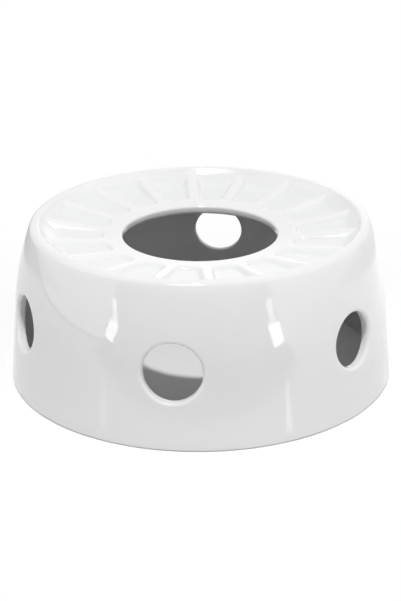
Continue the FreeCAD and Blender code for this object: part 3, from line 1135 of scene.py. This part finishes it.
@dataclass(frozen=True)
class Studio:
    """A white table, a white surround, the lamps and the panes in the glaze."""

    floor_colour: str = "fcfcfc"
    floor_bounce: str = "e4e4e4"
    floor_inside: str = "6c6c6c"
    inside_radius: float = 71.0
    white_from: float = 84.0
    white_to: float = 190.0
    surround: float = 0.77
    sidelong: float = 0.2
    overhead: float = 0.55
    glaze_level: float = 0.95
    glaze_overhead: float = 0.3
    dark_room: float = 0.1
    room_azimuths: tuple[float, float] = (-46.0, 54.0)
    room_blur: float = 1.5
    room_top: float = 18.0
    room_floor: tuple[float, float] = (100.0, 125.0)
    room_side: float = 8.3
    back_floor: tuple[float, float] = (150.0, 190.0)
    back_shade: float = 0.6
    stripes: tuple[Stripe, ...] = (
        Stripe(-47.0, 285.0, 35.0, -0.9, 4.0),
        Stripe(-47.0, 320.0, 3000.0, 0.45, 4.0),
        Stripe(98.0, 110.0, 3000.0, 0.5, 40.0),
        Stripe(-30.7, 30.3, 4.0, 2.2, 1.0, 59.3, 80.0),
        Stripe(37.7, 38.1, 4.0, 0.9, 1.0, -52.3, 80.0),
    )
    floor_radius_m: float = 4.0
    floor_corners: int = 96
    lamps: tuple[Lamp, ...] = (
        Lamp("overhead_lamp", 3.0, 72.0, 1300.0, 80.0, 80.0, 470.0, 30.0),
        glint("left_pane", -35.3, 164.0, (3.0, 35.0, 14.0, 20.0), 6.5, -24.0),
        glint("left_strip", -35.3, 164.0, (5.6, 55.0, 6.5, 28.0), 4.5, 16.0),
        glint("right_pane", 44.3, 165.0, (-1.5, 33.0, 16.0, 24.0), 7.0, 16.0),
        glint("right_strip", 44.3, 165.0, (-6.8, 57.0, 9.0, 32.0), 3.6, 0.0),
    )
    glows: tuple[Glow, ...] = (
        Glow(-5.0, 57.0, 4.0, 14.0, 4.5),
        Glow(-78.0, 6.0, 24.0, 50.0, 0.5),
        Glow(88.0, 6.0, 24.0, 50.0, 0.6),
        Glow(180.0, 8.0, 5.0, 16.0, 0.5),
        Glow(-85.0, 38.0, 12.0, 34.0, 0.6),
        Glow(80.0, 36.0, 12.0, 34.0, 0.6),
    )

    def floor(self) -> None:
        """Lay the floor."""
        mesh = bpy.data.meshes.new("floor")
        turns = np.linspace(0, 2 * math.pi, self.floor_corners, endpoint=False)
        rim = [
            (self.floor_radius_m * math.cos(turn), self.floor_radius_m * math.sin(turn), 0.0)
            for turn in turns
        ]
        mesh.from_pydata(rim, [], [tuple(range(self.floor_corners))])
        mesh.materials.append(self.white_table())
        floor = bpy.data.objects.new("floor", mesh)
        bpy.context.scene.collection.objects.link(floor)

    def white_table(self) -> bpy.types.Material:
        """Make the table's material.

        Clear of the shadow near the foot it is as white as the surround. The
        glaze also sees the dark room end on it in front, shade behind and a
        few stripes.

        Returns:
            The material.
        """
        made = blank_material("white_table")
        tree = made.node_tree
        place = add_node(tree, "ShaderNodeTexCoord").outputs["Object"]
        away = add_node(
            tree, "ShaderNodeVectorMath", {"operation": "LENGTH"}, {0: place}
        ).outputs["Value"]
        seen = self.seen(tree)
        table = add_node(
            tree, "ShaderNodeBsdfDiffuse", {"Roughness": 0.0},
            {"Color": self.table_colour(tree, away, seen)},
        )
        clear = add_node(
            tree, "ShaderNodeMapRange",
            {
                "interpolation_type": "SMOOTHSTEP",
                "From Min": self.white_from * MM,
                "From Max": self.white_to * MM,
            },
            {"Value": away},
        )
        front = self.ahead(tree, place, self.room_side, self.room_floor)
        room = add_node(
            tree, "ShaderNodeMath", {"operation": "MULTIPLY"},
            {0: self.in_room(tree, place), 1: front},
        ).outputs[0]
        dark = self.shade(tree, place, room)
        bright = add_node(
            tree, "ShaderNodeMath", {"operation": "MULTIPLY"},
            {0: clear.outputs["Result"], 1: seen},
        )
        share = add_node(
            tree, "ShaderNodeMath", {"operation": "MAXIMUM"}, {0: bright.outputs[0], 1: dark}
        )
        dim = add_node(
            tree, "ShaderNodeMapRange", {"To Min": 1.0, "To Max": self.dark_room},
            {"Value": dark},
        )
        stripes = self.striping(tree, place, room)
        darker, lighter = (
            add_node(tree, "ShaderNodeMath", {"operation": half, 1: 0.0}, {0: stripes}).outputs[0]
            for half in ("MINIMUM", "MAXIMUM")
        )
        level = add_node(
            tree, "ShaderNodeMath", {"operation": "ADD", "use_clamp": True},
            {0: dim.outputs["Result"], 1: darker},
        )
        white, striped = (
            add_node(
                tree, "ShaderNodeEmission", {"Color": (1.0, 1.0, 1.0, 1.0)},
                {"Strength": strength},
            ).outputs["Emission"]
            for strength in (level.outputs[0], lighter)
        )
        both = add_node(
            tree, "ShaderNodeMixShader", None,
            {0: share.outputs[0], 1: table.outputs["BSDF"], 2: white},
        )
        whole = add_node(tree, "ShaderNodeAddShader", None, {0: both.outputs[0], 1: striped})
        add_node(tree, "ShaderNodeOutputMaterial", None, {"Surface": whole.outputs[0]})
        return made

    def table_colour(
        self, tree: bpy.types.NodeTree, away: bpy.types.NodeSocket, seen: bpy.types.NodeSocket
    ) -> bpy.types.NodeSocket:
        """Give the table's own colour.

        It is white to the eye. As a light it is greyer, most of all under the
        body, where its bounce would wash out the dark inside.

        Args:
            tree: the node tree that gets the nodes.
            away: how far a place is from the body's axis.
            seen: a socket that is one for what the eye or a gloss sees.

        Returns:
            The colour.
        """
        beyond = add_node(
            tree, "ShaderNodeMath",
            {"operation": "GREATER_THAN", 1: self.inside_radius * MM}, {0: away},
        )
        bounce = add_node(
            tree, "ShaderNodeMix",
            {"data_type": "RGBA", 6: linear(self.floor_inside), 7: linear(self.floor_bounce)},
            {0: beyond.outputs[0]},
        )
        return add_node(
            tree, "ShaderNodeMix",
            {"data_type": "RGBA", 7: linear(self.floor_colour)},
            {0: seen, 6: bounce.outputs[2]},
        ).outputs[2]

    def shade(
        self, tree: bpy.types.NodeTree, place: bpy.types.NodeSocket, room: bpy.types.NodeSocket
    ) -> bpy.types.NodeSocket:
        """Tell how dark the glaze sees a place on the floor.

        Args:
            tree: the node tree that gets the nodes.
            place: a place on the floor.
            room: a socket that is one in the dark room.

        Returns:
            The shade, from none to one, and none to the eye.
        """
        behind = add_node(
            tree, "ShaderNodeMath", {"operation": "MULTIPLY", 1: self.back_shade},
            {0: self.ahead(tree, place, self.room_side + 180, self.back_floor)},
        )
        either = add_node(
            tree, "ShaderNodeMath", {"operation": "MAXIMUM"}, {0: room, 1: behind.outputs[0]}
        )
        path = add_node(tree, "ShaderNodeLightPath")
        return add_node(
            tree, "ShaderNodeMath", {"operation": "MULTIPLY"},
            {0: path.outputs["Is Glossy Ray"], 1: either.outputs[0]},
        ).outputs[0]

    def striping(
        self, tree: bpy.types.NodeTree, place: bpy.types.NodeSocket, room: bpy.types.NodeSocket
    ) -> bpy.types.NodeSocket:
        """Add up what the stripes change in the glaze, outside the dark room.

        Args:
            tree: the node tree that gets the nodes.
            place: a place on the floor.
            room: a socket that is one in the dark room.

        Returns:
            The change in brightness.
        """
        total = None
        for stripe in self.stripes:
            blur = stripe.blur
            near, far = stripe.far, stripe.far + stripe.width
            start = self.ahead(tree, place, stripe.side, (near - blur, near + blur))
            end = self.ahead(tree, place, stripe.side + 180, (-far - blur, -far + blur))
            both = add_node(tree, "ShaderNodeMath", {"operation": "MULTIPLY"}, {0: start, 1: end})
            band = add_node(
                tree, "ShaderNodeMath", {"operation": "MULTIPLY", 1: stripe.change},
                {0: both.outputs[0]},
            )
            if stripe.beside:
                run = (stripe.start - blur, stripe.start + blur)
                band = add_node(
                    tree, "ShaderNodeMath", {"operation": "MULTIPLY"},
                    {0: band.outputs[0], 1: self.ahead(tree, place, stripe.beside, run)},
                )
            total = band if total is None else add_node(
                tree, "ShaderNodeMath", {"operation": "ADD"},
                {0: total.outputs[0], 1: band.outputs[0]},
            )
        outside = add_node(tree, "ShaderNodeMath", {"operation": "SUBTRACT", 0: 1.0}, {1: room})
        change = add_node(
            tree, "ShaderNodeMath", {"operation": "MULTIPLY"},
            {0: total.outputs[0], 1: outside.outputs[0]},
        )
        path = add_node(tree, "ShaderNodeLightPath")
        return add_node(
            tree, "ShaderNodeMath", {"operation": "MULTIPLY"},
            {0: path.outputs["Is Glossy Ray"], 1: change.outputs[0]},
        ).outputs[0]

    def in_room(
        self, tree: bpy.types.NodeTree, way: bpy.types.NodeSocket
    ) -> bpy.types.NodeSocket:
        """Tell what lies on the side of the dark room in front of the table.

        Args:
            tree: the node tree that gets the nodes.
            way: a place or a direction.

        Returns:
            A socket that is one inside the room's two azimuths.
        """
        parts = add_node(tree, "ShaderNodeSeparateXYZ", None, {0: way})
        ahead = add_node(
            tree, "ShaderNodeMath", {"operation": "MULTIPLY", 1: -1.0}, {0: parts.outputs["Y"]}
        )
        turn = add_node(
            tree, "ShaderNodeMath", {"operation": "ARCTAN2"},
            {0: parts.outputs["X"], 1: ahead.outputs[0]},
        )
        sides = []
        for azimuth, sign in zip(self.room_azimuths, (1, -1)):
            edge = add_node(
                tree, "ShaderNodeMapRange",
                {
                    "interpolation_type": "SMOOTHSTEP",
                    "From Min": math.radians(azimuth - sign * self.room_blur),
                    "From Max": math.radians(azimuth + sign * self.room_blur),
                },
                {"Value": turn.outputs[0]},
            )
            sides.append(edge.outputs["Result"])
        return add_node(
            tree, "ShaderNodeMath", {"operation": "MULTIPLY"}, dict(enumerate(sides))
        ).outputs[0]

    def ahead(
        self, tree: bpy.types.NodeTree, place: bpy.types.NodeSocket, side: float,
        bounds: tuple[float, float],
    ) -> bpy.types.NodeSocket:
        """Tell what lies beyond a straight soft line across the table.

        Args:
            tree: the node tree that gets the nodes.
            place: a place on the floor.
            side: the azimuth that the line faces.
            bounds: how far out the line's soft edge starts and ends.

        Returns:
            A socket that is one beyond it.
        """
        ahead = add_node(
            tree, "ShaderNodeVectorMath",
            {"operation": "DOT_PRODUCT", 1: towards(side, 0.0)},
            {0: place},
        )
        return add_node(
            tree, "ShaderNodeMapRange",
            {
                "interpolation_type": "SMOOTHSTEP",
                "From Min": bounds[0] * MM,
                "From Max": bounds[1] * MM,
            },
            {"Value": ahead.outputs["Value"]},
        ).outputs["Result"]

    def seen(self, tree: bpy.types.NodeTree) -> bpy.types.NodeSocket:
        """Give a socket that is one for what the eye or a gloss sees.

        Args:
            tree: the node tree that gets the nodes.

        Returns:
            The socket.
        """
        path = add_node(tree, "ShaderNodeLightPath")
        either = add_node(
            tree, "ShaderNodeMath", {"operation": "MAXIMUM"},
            {0: path.outputs["Is Camera Ray"], 1: path.outputs["Is Glossy Ray"]},
        )
        both = add_node(
            tree, "ShaderNodeMath", {"operation": "MAXIMUM"},
            {0: either.outputs[0], 1: path.outputs["Is Transmission Ray"]},
        )
        return both.outputs[0]

    def daylight(
        self, tree: bpy.types.NodeTree, way: bpy.types.Node
    ) -> bpy.types.NodeSocket:
        """Give the surround as a light: soft, and a little brighter from the right.

        Args:
            tree: the surround's node tree.
            way: the parts of the direction that is looked in.

        Returns:
            How bright it is in that direction.
        """
        sideways = add_node(
            tree, "ShaderNodeMapRange",
            {
                "From Min": -1.0,
                "To Min": self.surround - self.sidelong,
                "To Max": self.surround + self.sidelong,
            },
            {"Value": way.outputs["X"]},
        )
        upward = add_node(
            tree, "ShaderNodeMapRange",
            {"To Min": 1.0, "To Max": self.overhead}, {"Value": way.outputs["Z"]},
        )
        return add_node(
            tree, "ShaderNodeMath", {"operation": "MULTIPLY"},
            {0: sideways.outputs["Result"], 1: upward.outputs["Result"]},
        ).outputs[0]

    def reflection(
        self, tree: bpy.types.NodeTree, direction: bpy.types.NodeSocket, way: bpy.types.Node
    ) -> bpy.types.NodeSocket:
        """Give the surround in the glaze: darker overhead, with soft glows.

        Args:
            tree: the surround's node tree.
            direction: the direction that is looked in.
            way: its parts.

        Returns:
            How bright it is in that direction.
        """
        total = add_node(
            tree, "ShaderNodeMapRange",
            {"To Min": self.glaze_level, "To Max": self.glaze_overhead},
            {"Value": way.outputs["Z"]},
        ).outputs["Result"]
        for glow in self.glows:
            total = add_node(
                tree, "ShaderNodeMath", {"operation": "ADD"},
                {0: total, 1: glow.shine(tree, direction)},
            ).outputs[0]
        return total

    def sky(self) -> None:
        """Make the surround.

        It is white to the eye. As a light and in the glaze a dark room stands
        low in front of it.
        """
        world = bpy.data.worlds.new("surround")
        bpy.context.scene.world = world
        world.use_nodes = True
        tree = world.node_tree
        tree.nodes.clear()
        direction = add_node(tree, "ShaderNodeTexCoord").outputs["Generated"]
        way = add_node(tree, "ShaderNodeSeparateXYZ", None, {0: direction})
        low = add_node(
            tree, "ShaderNodeMapRange",
            {
                "interpolation_type": "SMOOTHSTEP",
                "From Min": math.sin(math.radians(self.room_top + self.room_blur)),
                "From Max": math.sin(math.radians(self.room_top - self.room_blur)),
            },
            {"Value": way.outputs["Z"]},
        )
        room = add_node(
            tree, "ShaderNodeMath", {"operation": "MULTIPLY"},
            {0: self.in_room(tree, direction), 1: low.outputs["Result"]},
        ).outputs[0]
        light, reflected = (
            add_node(
                tree, "ShaderNodeMix", {3: self.dark_room}, {0: room, 2: open_side}
            ).outputs[0]
            for open_side in (self.daylight(tree, way), self.reflection(tree, direction, way))
        )
        path = add_node(tree, "ShaderNodeLightPath")
        in_glaze = add_node(
            tree, "ShaderNodeMix", None,
            {0: path.outputs["Is Glossy Ray"], 2: light, 3: reflected},
        )
        clear = add_node(
            tree, "ShaderNodeMath", {"operation": "MAXIMUM"},
            {0: path.outputs["Is Camera Ray"], 1: path.outputs["Is Transmission Ray"]},
        )
        strength = add_node(
            tree, "ShaderNodeMix", {3: 1.0}, {0: clear.outputs[0], 2: in_glaze.outputs[0]}
        )
        white = add_node(
            tree, "ShaderNodeBackground", {"Color": (1.0, 1.0, 1.0, 1.0)},
            {"Strength": strength.outputs[0]},
        )
        add_node(tree, "ShaderNodeOutputWorld", None, {"Surface": white.outputs["Background"]})

    def set_up(self) -> None:
        """Set the table, the surround and the lamps."""
        self.floor()
        self.sky()
        for lamp in self.lamps:
            lamp.light()
        bpy.context.scene.view_settings.view_transform = "Standard"


def main() -> None:
    """Build the body, dress it, light it and report."""
    logging.basicConfig(level=logging.INFO, format="%(message)s")
    Viewpoint().aim()
    Studio().set_up()
    warmer = WarmerBody()
    body = warmer.build()
    warmer.dress(body)
    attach(body, BODY)
    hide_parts(NODE)
    LOG.info("%s: %d faces", body.name, len(body.data.polygons))


if __name__ == "__main__":
    main()
